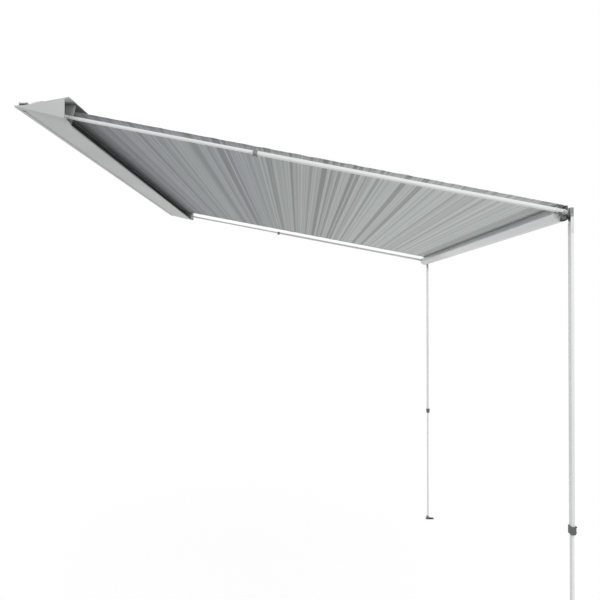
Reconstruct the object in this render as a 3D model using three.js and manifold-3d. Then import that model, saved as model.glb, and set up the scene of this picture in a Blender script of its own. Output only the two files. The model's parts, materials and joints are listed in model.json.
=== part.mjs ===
// Roll-out awning for a caravan wall, in millimetres with +Z up.
// X runs out from the wall and Y along it. The origin is the middle of the wall rail's back face.
// The cloth runs down a shallow slope from the case to a roller bar on two telescopic legs.
import * as THREE from 'three';
import { mergeVertices } from 'three/addons/utils/BufferGeometryUtils.js';
import Module from 'manifold-3d';

const wasm = await Module();
wasm.setup();

// Driving dimensions
const caseLength = 2600;
const endCapDepth = 52;
const clothInset = 85; // case end to cloth edge
const clothWidth = caseLength - 2 * clothInset;
const clothThickness = 1;
const slope = THREE.MathUtils.degToRad(10.786);
const rafterReach = 1850; // wall pin to bar axis, down the slope
const legDrop = 1980; // bar axis to the ground
const rollerRadius = 30;
const rafterClampAt = 1145; // bar axis to the clamp, up the slope
const legClampAt = 1155; // bar axis to the clamp, down the leg
const pinX = 150;
const pinZ = -40;
const fit = 0.3; // gap between pieces that seat on each other
const overrun = 5; // how far a cutting shape passes the face it cuts

// Telescopic tubes, the same section in the legs and the rafters
const tubeWidth = 25; // along the wall
const tubeHeight = 12;
const rafterLift = 4; // rafter tubes above the line from the wall pin to the bar axis
const tubeWall = 1.5;
const tubeCorner = 2;
const innerWall = 1.2;
const overlapLength = 200;
const innerWidth = tubeWidth - 2 * (tubeWall + fit);
const innerHeight = tubeHeight - 2 * (tubeWall + fit);
const spigotWidth = innerWidth - 2 * (innerWall + fit);
const spigotHeight = innerHeight - 2 * (innerWall + fit);
const spigotLength = 40;

// Places along the wall, from the middle outwards
const cheek = 3; // plate of the rafter brackets
const cheekInside = clothWidth / 2 + 2 * fit;
const bayInside = cheekInside + cheek;
const tubeMiddle = bayInside + fit + tubeWidth / 2;
const bayOutside = tubeMiddle + tubeWidth / 2 + fit;
const shellEnd = caseLength / 2 - endCapDepth;

// Solids and booleans
const solidOf = (geometry) => {
  const bare = geometry.clone();
  bare.deleteAttribute('normal');
  bare.deleteAttribute('uv');
  const merged = mergeVertices(bare);
  const vertProperties = Float32Array.from(merged.attributes.position.array);
  const triVerts = Uint32Array.from(merged.index.array);
  return new wasm.Manifold(new wasm.Mesh({ numProp: 3, vertProperties, triVerts }));
};
const geometryOf = (solid) => {
  const mesh = solid.getMesh();
  const geometry = new THREE.BufferGeometry();
  geometry.setAttribute('position', new THREE.BufferAttribute(mesh.vertProperties, 3));
  geometry.setIndex(new THREE.BufferAttribute(mesh.triVerts, 1));
  geometry.computeVertexNormals();
  return geometry;
};
const join = (first, ...others) =>
  geometryOf(others.reduce((sum, other) => sum.add(solidOf(other)), solidOf(first)));
const cut = (first, ...others) =>
  geometryOf(others.reduce((sum, other) => sum.subtract(solidOf(other)), solidOf(first)));

// Extrusions of a flat outline along each axis
const xAxis = new THREE.Vector3(1, 0, 0);
const yAxis = new THREE.Vector3(0, 1, 0);
const zAxis = new THREE.Vector3(0, 0, 1);
const upright = new THREE.Matrix4().makeBasis(yAxis, zAxis, xAxis);
const sideways = new THREE.Matrix4().makeBasis(xAxis, zAxis, yAxis.clone().negate());
const roundSteps = 8; // facets in a quarter of a circle
const cornerSteps = 3; // facets in an eased corner
const extrude = (outline, from, to, basis) => {
  const options = { depth: to - from, bevelEnabled: false, curveSegments: roundSteps };
  const geometry = new THREE.ExtrudeGeometry(outline, options);
  return geometry.translate(0, 0, from).applyMatrix4(basis);
};
const alongX = (outline, from, to) => extrude(outline, from, to, upright); // outline in Y and Z
const alongY = (outline, from, to) => extrude(outline, -to, -from, sideways); // outline in X and Z

// Outlines
const point = (x, y) => new THREE.Vector2(x, y);
const circle = (x, y, radius, hole = 0) => {
  const shape = new THREE.Shape().absarc(x, y, radius, 0, 2 * Math.PI);
  if (hole) shape.holes.push(new THREE.Path().absarc(x, y, hole, 0, 2 * Math.PI, true));
  return shape;
};
const box = (x0, y0, x1, y1) =>
  new THREE.Shape([point(x0, y0), point(x1, y0), point(x1, y1), point(x0, y1)]);
const easedPath = (corners, steps, closed = false) => {
  const points = [];
  corners.forEach(([x, y, radius], index) => {
    const corner = point(x, y);
    const before = corners.at(index - 1);
    const after = corners[(index + 1) % corners.length];
    const isEnd = !closed && (index === 0 || index === corners.length - 1);
    if (isEnd || !radius) {
      points.push(corner);
      return;
    }
    const start = point(before[0], before[1]).sub(corner).setLength(radius).add(corner);
    const end = point(after[0], after[1]).sub(corner).setLength(radius).add(corner);
    points.push(...new THREE.QuadraticBezierCurve(start, corner, end).getPoints(steps));
  });
  return points;
};
const easedBox = (width, height, radius, x = 0, y = 0) => {
  const [a, b] = [width / 2, height / 2];
  const corners = [[x - a, y - b], [x + a, y - b], [x + a, y + b], [x - a, y + b]];
  return new THREE.Shape(easedPath(corners.map((c) => [...c, radius]), cornerSteps, true));
};
const leftOf = (a, b) => point(a.y - b.y, b.x - a.x).normalize();
const offsetLine = (points, distance, closed = false) => {
  const last = points.length - 1;
  return points.map((here, index) => {
    const back = closed ? points.at(index - 1) : points[Math.max(index - 1, 0)];
    const next = closed ? points[(index + 1) % points.length] : points[Math.min(index + 1, last)];
    const into = back === here ? leftOf(here, next) : leftOf(back, here);
    const out = next === here ? into : leftOf(here, next);
    const mitre = into.clone().add(out).divideScalar(1 + into.dot(out));
    return here.clone().addScaledVector(mitre, distance);
  });
};
const ribbon = (points, thickness) =>
  new THREE.Shape([...points, ...offsetLine(points, thickness).reverse()]);
const arcPoints = (x, y, radius, from, to, steps) =>
  new THREE.EllipseCurve(x, y, radius, radius, from, to, to < from).getPoints(steps);
const slotted = (x, y, inner, wall, heading, halfGap) => {
  const half = Math.asin(halfGap / inner);
  const arc = arcPoints(x, y, inner, heading + half, heading + 2 * Math.PI - half, 3 * roundSteps);
  return ribbon(arc, -wall);
};

// A solid through closed rings of points that run clockwise in X and Z, in order of Y
const loft = (rings) => {
  const count = rings[0].length;
  const faces = [];
  for (let ring = 0; ring < rings.length - 1; ring += 1) {
    for (let index = 0; index < count; index += 1) {
      const next = (index + 1) % count;
      const [a, b] = [ring * count + index, ring * count + next];
      faces.push(a, b, b + count, a, b + count, a + count);
    }
  }
  const lid = (ring, offset, isLast) => {
    const flat = ring.map((p) => point(p.x, p.z)).reverse();
    for (const corners of THREE.ShapeUtils.triangulateShape(flat, [])) {
      const turned = isLast ? corners.reverse() : corners;
      faces.push(...turned.map((corner) => offset + count - 1 - corner));
    }
  };
  lid(rings[0], 0, false);
  lid(rings.at(-1), (rings.length - 1) * count, true);
  const geometry = new THREE.BufferGeometry().setFromPoints(rings.flat());
  geometry.setIndex(faces);
  return geometry;
};

// Materials
const metal = (color, roughness) => new THREE.MeshStandardMaterial({ color, roughness, metalness: 0.6 });
const plain = (color, roughness) => new THREE.MeshStandardMaterial({ color, roughness, metalness: 0 });
const greyCoat = plain(0xb9bbbc, 0.5);
const whiteCoat = plain(0xeceeee, 0.4);
const bareMetal = metal(0xc8cacb, 0.4);
const steel = metal(0x9a9c9e, 0.35);
const darkPlastic = plain(0x4a4c4e, 0.55);
const greyPlastic = plain(0x84878a, 0.55);
const blackRubber = plain(0x2c2d2e, 0.8);
const greyRubber = plain(0x9a9c9d, 0.8);
const stripedCloth = plain(0xa4aaa9, 0.9);
const whitePlastic = plain(0xe2e4e4, 0.5);

// Groups: the case and wall parts, the slope from the wall pins, and the bar end of the slope
const awning = new THREE.Group();
const incline = new THREE.Group();
incline.position.set(pinX, 0, pinZ);
incline.rotation.y = slope;
awning.add(incline);
const barX = pinX + rafterReach * Math.cos(slope);
const barZ = pinZ - rafterReach * Math.sin(slope);
const place = (name, geometry, material, parent = awning) => {
  const mesh = new THREE.Mesh(geometry, material);
  mesh.name = name;
  parent.add(mesh);
};
const sides = [['left', -1], ['right', 1]];
const acrossY = (outline, side, inner, outer) =>
  side < 0 ? alongY(outline, -outer, -inner) : alongY(outline, inner, outer);

// Wall rail: a flange with a round channel that the bead on the case slides into
const railPlate = 2.5;
const railTop = -2;
const railBottom = -24;
const railLip = 1.6; // turned out and hooked round the case's lower back corner
const railReach = 24;
const railInset = 32; // case end to rail end
const beadX = 7;
const beadZ = (railTop + railBottom) / 2;
const channelRadius = 3.8;
const channelWall = 1.6;
const tongue = 1.6;
const backX = beadX + channelRadius + channelWall + 4 * fit;
const railFlange = box(0, railBottom, railPlate, railTop);
const railFoot = box(0, railBottom, backX - fit - railLip / 2, railBottom + railLip);
const railChannel = slotted(beadX, beadZ, channelRadius, channelWall, 0, tongue / 2 + 2 * fit);
const halfCase = caseLength / 2;
const railEnd = halfCase - railInset;
awning.position.z = -beadZ; // sets the origin at the rail's middle height

// Case shell: an open-fronted extrusion with turned lips and a bead on its back
const shellWall = 2.2;
const backBottom = -27;
const backTop = -4;
const lowerLipX = 158;
const lowerLipZ = -62;
const lipTurn = 7;
const upperLipTurn = 3;
const upperLipX = 192;
const upperLipZ = 14.5;
const shoulderX = 56;
const shoulderZ = 12;
const roofX = 108;
const roofEndX = 165;
const roofZ = 16;
const bottomRadius = 6;
const backRadius = 10;
const shoulderRadius = 28;
const roofRadius = 12;
const lipRadius = 3;
const profileSteps = 5;
const backCorners = [
  [backX, backBottom, bottomRadius],
  [backX, backTop, backRadius],
  [shoulderX, shoulderZ, shoulderRadius],
  [roofX, roofZ, roofRadius],
  [roofEndX, roofZ, roofRadius],
];
const shellCorners = [
  [lowerLipX, lowerLipZ + lipTurn, 0],
  [lowerLipX, lowerLipZ, lipRadius],
  ...backCorners,
  [upperLipX, upperLipZ, upperLipTurn / 2],
  [upperLipX, upperLipZ - upperLipTurn, 0],
];
const shellLine = easedPath(shellCorners, profileSteps);
const beadRadius = channelRadius - fit;
const shellTongue = box(beadX, beadZ - tongue / 2, backX + shellWall / 2, beadZ + tongue / 2);
place(
  'case_shell',
  join(
    alongY(ribbon(shellLine, -shellWall), -shellEnd, shellEnd),
    alongY(shellTongue, -shellEnd, shellEnd),
    alongY(circle(beadX, beadZ, beadRadius), -shellEnd, shellEnd),
  ),
  greyCoat,
);
const floorRise = (backBottom - lowerLipZ) / (lowerLipX - backX);
const floorOutside = (x) => lowerLipZ + (lowerLipX - x) * floorRise;
const floorSlant = Math.hypot(1, floorRise);
const floorInside = (x) => floorOutside(x) + shellWall * floorSlant;
const hookCorner = offsetLine(shellLine, fit).filter(
  (p) => p.x < railReach && p.y < backBottom + bottomRadius,
);
const hookLine = [point(railReach, floorOutside(railReach) - fit * floorSlant), ...hookCorner];
const railOutlines = [railFlange, railFoot, railChannel, ribbon(hookLine, railLip)];
place('wall_rail', join(...railOutlines.map((outline) => alongY(outline, -railEnd, railEnd))), bareMetal);

// Rubber seal along the top, between the case's back and the wall
const sealThickness = 2.5;
const sealReach = 31;
const sealBulb = 3;
const sealBulbZ = railTop + fit + sealBulb;
const sealLine = offsetLine(shellLine, fit).filter(
  (p) => p.x < sealReach && p.x > backX && p.y > backTop,
);
const sealBase = sealLine.map((p) => p.clone());
sealBase[0] = point(sealBulb, sealBulbZ - sealThickness / 2);
place(
  'wall_seal',
  join(
    alongY(ribbon(sealBase, sealThickness), -railEnd, railEnd),
    alongY(circle(fit + sealBulb, sealBulbZ, sealBulb, sealBulb / 2), -railEnd, railEnd),
  ),
  greyRubber,
);

// End caps: mouldings that slope from the shell's section to a smaller end face, open to the front
const capWall = 3;
const capFrontX = 176;
const capFrontRadius = 10;
const capFloorFront = [capFrontX, floorOutside(capFrontX), capFrontRadius];
const noseHeight = 3;
const noseRadius = 1;
const capCorners = [
  capFloorFront,
  ...backCorners,
  [upperLipX, upperLipZ, noseRadius],
  [upperLipX, upperLipZ - noseHeight, noseRadius],
  [capFrontX, upperLipZ - noseHeight - lipRadius, lipRadius],
];
const endBackTop = -19;
const endBackRadius = 2;
const endShoulderX = 44;
const endShoulderZ = -17;
const endShoulderRadius = 12;
const endRoofX = 115;
const endRoofZ = -2;
const endRise = 3; // how far the lower edge lifts towards the end face
const endNoseZ = upperLipZ - lipRadius / 2;
const endCorners = [
  [capFrontX, capFloorFront[1] + endRise, capFrontRadius],
  [backX, backBottom + endRise, endBackRadius],
  [backX, endBackTop, endBackRadius],
  [endShoulderX, endShoulderZ, endShoulderRadius],
  [endRoofX, endRoofZ, roofRadius],
  [roofEndX, (endRoofZ + roofZ) / 2, roofRadius],
  [upperLipX, endNoseZ, noseRadius],
  [upperLipX, endNoseZ - noseHeight, noseRadius],
  [capFrontX, endNoseZ - noseHeight - lipRadius, lipRadius],
];
const hollowShared = 5; // corners that the hollow takes from the cap, counted from its floor
const hollowX = upperLipX + 2 * overrun;
const hollowOf = (corners, rise, topZ) => [
  [hollowX, floorOutside(hollowX) + rise, 0],
  ...corners.slice(1, hollowShared),
  [hollowX, topZ, 0],
];
const hollowCorners = hollowOf(capCorners, 0, upperLipZ);
const endHollowX = 40; // the hollow stops short of the thin back edge
const hollowEndCorners = hollowOf(endCorners, endRise, endNoseZ);
hollowEndCorners[1] = [endHollowX, floorOutside(endHollowX) + endRise, bottomRadius];
hollowEndCorners[2] = [endHollowX, endShoulderZ, bottomRadius];
hollowEndCorners[3] = [endHollowX + 3 * bottomRadius, endShoulderZ, bottomRadius];
const capSteps = 2;
const footTop = -18; // a foot on each cap covers the rail's end
const capRings = (side, first, last, inset, steps, from, to) => {
  const start = offsetLine(easedPath(from, profileSteps, true), -inset, true);
  const end = offsetLine(easedPath(to, profileSteps, true), -inset, true);
  const rings = [];
  for (let step = 0; step <= steps; step += 1) {
    const y = side * THREE.MathUtils.lerp(first, last, step / steps);
    const ring = start.map((p, index) => p.clone().lerp(end[index], step / steps));
    rings.push(ring.map((p) => new THREE.Vector3(p.x, y, p.y)));
  }
  return side < 0 ? rings.reverse() : rings;
};
const tabFrom = 30;
const tabTo = 95;
const tabLength = 18;
const tabThickness = 2;
const seatLine = offsetLine(shellLine, -shellWall - fit);
const roofTab = seatLine.filter((p) => p.y > 0 && p.x > tabFrom && p.x < tabTo);
const floorTab = [tabTo, tabFrom].map((x) => point(x, floorInside(x) + fit));
const apronInner = 1175; // where the swept lower corner runs out against the shell's lip
const apronSteps = 6;
const apronSliver = 0.4;
const apronRings = (side) => {
  const rings = [];
  for (let step = 0; step <= apronSteps; step += 1) {
    const share = step / apronSteps;
    const y = side * THREE.MathUtils.lerp(apronInner, shellEnd + 2 * overrun, share);
    const wide = (capFrontX - lowerLipX - 2 * fit - lipRadius) * Math.sin((share * Math.PI) / 2);
    const start = lowerLipX + 2 * fit;
    const end = start + apronSliver + wide;
    const corners = [[start, 0], [start, capWall], [end, capWall], [end, 0]];
    rings.push(corners.map(([x, up]) => new THREE.Vector3(x, y, floorOutside(x) + up)));
  }
  return side < 0 ? rings.reverse() : rings;
};
for (const [sideName, side] of sides) {
  const capInner = shellEnd + fit;
  const outer = loft(capRings(side, capInner, halfCase, 0, capSteps, capCorners, endCorners));
  const [from, to] = [capInner - overrun, halfCase - capWall];
  const hollow = loft(capRings(side, from, to, capWall, capSteps, hollowCorners, hollowEndCorners));
  const foot = acrossY(box(fit, railBottom, backX + capWall / 2, footTop), side, railEnd + fit, halfCase);
  const tabs = [roofTab, floorTab].map((line) =>
    acrossY(ribbon(line, -tabThickness), side, shellEnd - tabLength, shellEnd + 2 * overrun));
  place(`case_end_${sideName}`, join(cut(outer, hollow), ...tabs, loft(apronRings(side)), foot), greyCoat);
}

// Cloth rail: a slotted channel hung from the shell's roof, holding the bead of the cloth
const clothBottom = rollerRadius + fit;
const clothTop = clothBottom + clothThickness;
const hemWidth = 50;
const hemExtra = 0.8;
const rootU = -34; // bead centre along the slope
const rootW = (clothBottom + clothTop) / 2;
const rootBead = 2.8;
const rootChannel = rootBead + 2 * fit;
const rootWall = 1.6;
const rootX = pinX + rootU * Math.cos(slope) + rootW * Math.sin(slope);
const rootZ = pinZ - rootU * Math.sin(slope) + rootW * Math.cos(slope);
const rootSlot = clothThickness / 2 + hemExtra + 2 * fit;
const flangeWidth = 22;
const flangeTop = roofZ - shellWall - fit;
const webHalf = 1;
const clothRailEnd = clothWidth / 2;
place(
  'cloth_rail',
  join(
    alongY(slotted(rootX, rootZ, rootChannel, rootWall, -slope, rootSlot), -clothRailEnd, clothRailEnd),
    alongY(box(rootX - webHalf, rootZ + rootChannel + rootWall / 2, rootX + webHalf, flangeTop),
      -clothRailEnd, clothRailEnd),
    alongY(box(rootX - webHalf, flangeTop - rootWall, rootX + flangeWidth, flangeTop),
      -clothRailEnd, clothRailEnd),
  ),
  bareMetal,
);
place('cloth_bead', alongY(circle(rootX, rootZ, rootBead), -clothRailEnd, clothRailEnd), blackRubber);

// Rafter brackets: a cheek, a back web and a sole standing on the shell's floor, hooked over its lip
const bracketBack = 98;
const bracketFront = 186;
const bracketToe = 170;
const bracketHookX = lowerLipX + 2 * fit;
const bracketHookZ = lowerLipZ + capWall + fit;
const bracketLipTop = lowerLipZ + lipTurn + 2 * fit;
const bracketFloor = (x) => floorInside(x) + fit;
const bracketInnerX = lowerLipX - shellWall - lipRadius;
const bracketTop = roofZ - 2 * shellWall;
const bracketChamfer = 5;
const bracketEase = 2;
const bracketCorners = [
  [bracketBack, bracketFloor(bracketBack), 0],
  [bracketInnerX, bracketFloor(bracketInnerX), 0],
  [bracketInnerX, bracketLipTop, 0],
  [bracketHookX, bracketLipTop, 0],
  [bracketHookX, bracketHookZ, 0],
  [bracketToe, bracketHookZ, bracketEase],
  [bracketFront, bracketTop - bracketChamfer, bracketEase],
  [bracketFront - bracketChamfer, bracketTop, bracketEase],
  [bracketBack, bracketTop, 0],
];
const bracketCheek = new THREE.Shape(easedPath(bracketCorners, cornerSteps, true));
const bracketWeb = box(bracketBack, bracketFloor(bracketBack), bracketBack + cheek, bracketTop);
const soleEnds = [bracketInnerX, bracketBack].map((x) => point(x, bracketFloor(x)));
const bracketSole = ribbon(soleEnds, -cheek);
const pinRadius = 4;
const pinHead = 6.5;
const headHeight = 2.5;
for (const [sideName, side] of sides) {
  const [web, sole] = [bracketWeb, bracketSole].map((outline) =>
    acrossY(outline, side, cheekInside, bayOutside));
  const inner = acrossY(bracketCheek, side, cheekInside, bayInside);
  const bore = acrossY(circle(pinX, pinZ, pinRadius + fit), side, cheekInside - overrun, bayInside + overrun);
  place(`rafter_bracket_${sideName}`, cut(join(web, inner, sole), bore), greyPlastic);
  const [first, last] = [cheekInside - fit, bayOutside];
  const shank = acrossY(circle(pinX, pinZ, pinRadius), side, first - headHeight / 2, last + headHeight / 2);
  const heads = [first - headHeight, last].map((start) =>
    acrossY(circle(pinX, pinZ, pinHead), side, start, start + headHeight));
  place(`rafter_pin_${sideName}`, join(shank, ...heads), steel);
}

// Cloth: a taut sheet with a hem down each side
const clothEnd = rafterReach - fit;
const halfCloth = clothWidth / 2;
const hemInner = halfCloth - hemWidth;
const clothSection = new THREE.Shape([
  point(-halfCloth, clothBottom),
  point(halfCloth, clothBottom),
  point(halfCloth, clothTop + hemExtra),
  point(hemInner, clothTop + hemExtra),
  point(hemInner - hemExtra, clothTop),
  point(hemExtra - hemInner, clothTop),
  point(-hemInner, clothTop + hemExtra),
  point(-halfCloth, clothTop + hemExtra),
]);
place('canopy', alongX(clothSection, rootU + rootBead + fit, clothEnd), stripedCloth, incline);

// Bar end frame, in line with the world, and the rafter frame that looks back up the slope
const bar = new THREE.Group();
bar.position.set(barX, 0, barZ);
awning.add(bar);
const rafterFrame = new THREE.Group();
rafterFrame.position.copy(bar.position);
rafterFrame.rotation.y = slope + Math.PI;
awning.add(rafterFrame);

// Roller: a tube with a slotted channel for the cloth's front bead, a plug in each end
const rollerWall = 1.8;
const rollerInset = 7; // cloth edge to the roller's end
const rollerEnd = halfCloth - rollerInset;
const grooveHeading = THREE.MathUtils.degToRad(36); // up from level, on the side away from the wall
const frontBead = 2.4;
const grooveInner = frontBead + 2 * fit;
const grooveWall = 1.2;
const grooveCentre = rollerRadius - rollerWall - grooveInner;
const grooveX = grooveCentre * Math.cos(grooveHeading);
const grooveZ = grooveCentre * Math.sin(grooveHeading);
const grooveSlot = clothThickness / 2 + fit;
const around = (radius, from, to, steps) => arcPoints(0, 0, radius, from, to, steps);
const slotHalf = Math.asin(grooveSlot / (rollerRadius - rollerWall));
const rollerArc = around(
  rollerRadius - rollerWall, grooveHeading + slotHalf, grooveHeading - slotHalf + 2 * Math.PI, 6 * roundSteps);
place(
  'roller_tube',
  join(
    alongY(ribbon(rollerArc, -rollerWall), -rollerEnd, rollerEnd),
    alongY(slotted(grooveX, grooveZ, grooveInner, grooveWall, grooveHeading, grooveSlot), -rollerEnd, rollerEnd),
  ),
  whiteCoat,
  bar,
);
place('front_bead', alongY(circle(grooveX, grooveZ, frontBead), -rollerEnd, rollerEnd), blackRubber, bar);

// Cloth on the roller: over the top from where the sheet meets it, then down into the groove
const wrapInset = 2; // the cloth narrows a little on the roller
const wrapEnd = halfCloth - wrapInset;
const wrapStart = Math.PI / 2 - slope;
const wrapStop = grooveHeading - clothThickness / 2 / clothBottom;
const wrapArc = around(clothBottom, wrapStart, wrapStop, roundSteps);
const tuckInner = grooveCentre + frontBead + fit;
const tuckOuter = clothBottom + clothThickness / 2;
const tuckEnds = [tuckInner, tuckOuter].map((radius) =>
  point(radius * Math.cos(grooveHeading), radius * Math.sin(grooveHeading)));
const tuck = ribbon(offsetLine(tuckEnds, -clothThickness / 2), clothThickness);
place(
  'canopy_wrap',
  join(alongY(ribbon(wrapArc, clothThickness), -wrapEnd, wrapEnd), alongY(tuck, -rollerEnd, rollerEnd)),
  stripedCloth,
  bar,
);

// Bar ends: roller plug, axle, and a bracket whose rim holds the rafter and whose lug holds the leg
const axleRadius = 5;
const axleHead = 8;
const axleInner = 30;
const plugFlange = 5;
const plugSpigot = 28;
const plugInner = rollerRadius - rollerWall - fit;
const discPlate = 3;
const discInset = 0.7; // keeps the disc inside the rafter's line
const discInside = halfCloth - discInset;
const rimOuter = 24;
const rimWall = 2.5;
const rimFirst = THREE.MathUtils.degToRad(70); // the rim is open towards the rafter and the leg
const rimTurn = THREE.MathUtils.degToRad(250); // nearer the rafter than this it is shallow, with a web
const rimLast = THREE.MathUtils.degToRad(282);
const webFirst = THREE.MathUtils.degToRad(185);
const discLast = THREE.MathUtils.degToRad(178);
const yokeInner = 9; // wall round the rafter's end that carries the leg's lug
const yokeOuter = 12;
const yokeHalfAngle = THREE.MathUtils.degToRad(45);
const rimDepth = tubeMiddle + tubeWidth / 2 + discPlate;
const rimGap = tubeHeight / 2 + 4 * fit;
const swingX = 22; // leg pivot, out from the bar axis
const swingZ = -9.5;
const legX = 24.5; // middle of the leg, out from the bar axis
const lugRadius = 6.5;
const lugArmHalf = 5;
const lugHalf = 7.6;
const swingRadius = 2.8;
const swingHead = 4.5;
const thinHead = 1.2;
const tipRadius = 8;
const tipLength = 35;
const rafterHeading = Math.PI - slope - Math.asin(rafterLift / (rimOuter - rimWall / 2));
const rimHalfGap = Math.asin(rimGap / (rimOuter - rimWall));
const deepArcs = [[rimFirst, rafterHeading - rimHalfGap], [rimTurn, rimLast]];
const shallowArc = [rafterHeading + rimHalfGap, rimLast];
const rimBand = ([from, to]) => ribbon(around(rimOuter - rimWall, from, to, 2 * roundSteps), -rimWall);
const webArc = around(yokeOuter, webFirst, rimLast, 2 * roundSteps);
const discArc = around(rollerRadius - fit, rimTurn - 2 * Math.PI, discLast, 3 * roundSteps);
const discSector = new THREE.Shape([...discArc, point(0, 0)]);
const lugHeading = Math.atan2(swingZ, swingX);
const yokeArc = around(yokeInner, lugHeading - yokeHalfAngle, lugHeading + yokeHalfAngle, 2 * roundSteps);
const lugOut = point(swingX, swingZ).normalize();
const lugAcross = point(-lugOut.y, lugOut.x);
const lugPoint = (out, across) => lugOut.clone().multiplyScalar(out).addScaledVector(lugAcross, across);
const lugMiddle = Math.hypot(swingX, swingZ);
const yokeMiddle = (yokeInner + yokeOuter) / 2;
for (const [sideName, side] of sides) {
  const flangeStart = rollerEnd + fit;
  const flange = acrossY(circle(0, 0, rollerRadius - fit), side, flangeStart, flangeStart + plugFlange);
  const spigot = acrossY(circle(0, 0, plugInner), side, rollerEnd - plugSpigot, flangeStart + plugFlange / 2);
  const notch = acrossY(
    circle(grooveX, grooveZ, grooveInner + grooveWall + fit), side, rollerEnd - plugSpigot - overrun, flangeStart);
  const plugBore = acrossY(
    circle(0, 0, axleRadius + fit), side, rollerEnd - plugSpigot - overrun, flangeStart + plugFlange + overrun);
  place(`roller_plug_${sideName}`, cut(join(flange, spigot), notch, plugBore), whitePlastic, bar);

  const axleEnd = rimDepth - discPlate + fit;
  const shank = acrossY(circle(0, 0, axleRadius), side, rollerEnd - axleInner, axleEnd + discPlate / 2);
  const head = acrossY(circle(0, 0, axleHead), side, axleEnd, axleEnd + discPlate);
  place(`axle_${sideName}`, join(shank, head), steel, bar);

  const disc = [discSector, circle(0, 0, yokeOuter)].map((outline) =>
    acrossY(outline, side, discInside, discInside + discPlate));
  const webInside = tubeMiddle + tubeWidth / 4;
  const rim = [
    ...deepArcs.map((arc) => acrossY(rimBand(arc), side, discInside, rimDepth)),
    acrossY(rimBand(shallowArc), side, webInside, rimDepth),
    acrossY(ribbon(webArc, yokeOuter - rimOuter), side, webInside, webInside + discPlate),
  ];
  const lugArm = new THREE.Shape([
    lugPoint(yokeMiddle, -lugArmHalf),
    lugPoint(lugMiddle, -lugArmHalf),
    lugPoint(lugMiddle, lugArmHalf),
    lugPoint(yokeMiddle, lugArmHalf),
  ]);
  const [lugInside, lugOutside] = [tubeMiddle - lugHalf, tubeMiddle + lugHalf];
  const lug = join(
    acrossY(ribbon(yokeArc, yokeInner - yokeOuter), side, discInside, lugOutside),
    acrossY(lugArm, side, lugInside, lugOutside),
    acrossY(circle(swingX, swingZ, lugRadius), side, lugInside, lugOutside),
  );
  const boreEnd = rimDepth + overrun;
  const axleBore = acrossY(circle(0, 0, axleRadius + fit), side, discInside - overrun, boreEnd);
  const swingBore = acrossY(circle(swingX, swingZ, swingRadius + fit), side, lugInside - overrun, boreEnd);
  place(`end_bracket_${sideName}`, cut(join(...disc, ...rim, lug), axleBore, swingBore), darkPlastic, bar);

  const cheekEdge = tubeWidth / 2 - fit;
  const pinFirst = tubeMiddle - cheekEdge - fit;
  const pinLast = tubeMiddle + cheekEdge + fit;
  const swingShank = acrossY(
    circle(swingX, swingZ, swingRadius), side, pinFirst - thinHead / 2, pinLast + thinHead / 2);
  const swingHeads = [pinFirst - thinHead, pinLast].map((start) =>
    acrossY(circle(swingX, swingZ, swingHead), side, start, start + thinHead));
  place(`leg_swing_pin_${sideName}`, join(swingShank, ...swingHeads), steel, bar);

  const [tipInside, tipOutside] = [tubeMiddle - tubeWidth / 2, tubeMiddle + tubeWidth / 2];
  const eye = acrossY(circle(0, 0, tipRadius), side, tipInside, tipOutside);
  const neckShape = box(0, -rafterLift - tubeHeight / 2, tipLength, tubeHeight / 2 - rafterLift);
  const neck = acrossY(neckShape, side, tipInside, tipOutside);
  const tongueSide = (innerWidth + 2 * fit) / 2 - fit;
  const spigotShape = box(
    tipLength - overrun, -rafterLift - innerHeight / 2, tipLength + spigotLength, innerHeight / 2 - rafterLift);
  const inTube = acrossY(spigotShape, side, tubeMiddle - tongueSide, tubeMiddle + tongueSide);
  const tipBore = acrossY(circle(0, 0, axleRadius + fit), side, tipInside - overrun, tipOutside + overrun);
  place(`rafter_tip_${sideName}`, cut(join(eye, neck, inTube), tipBore), whitePlastic, rafterFrame);
}

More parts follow.
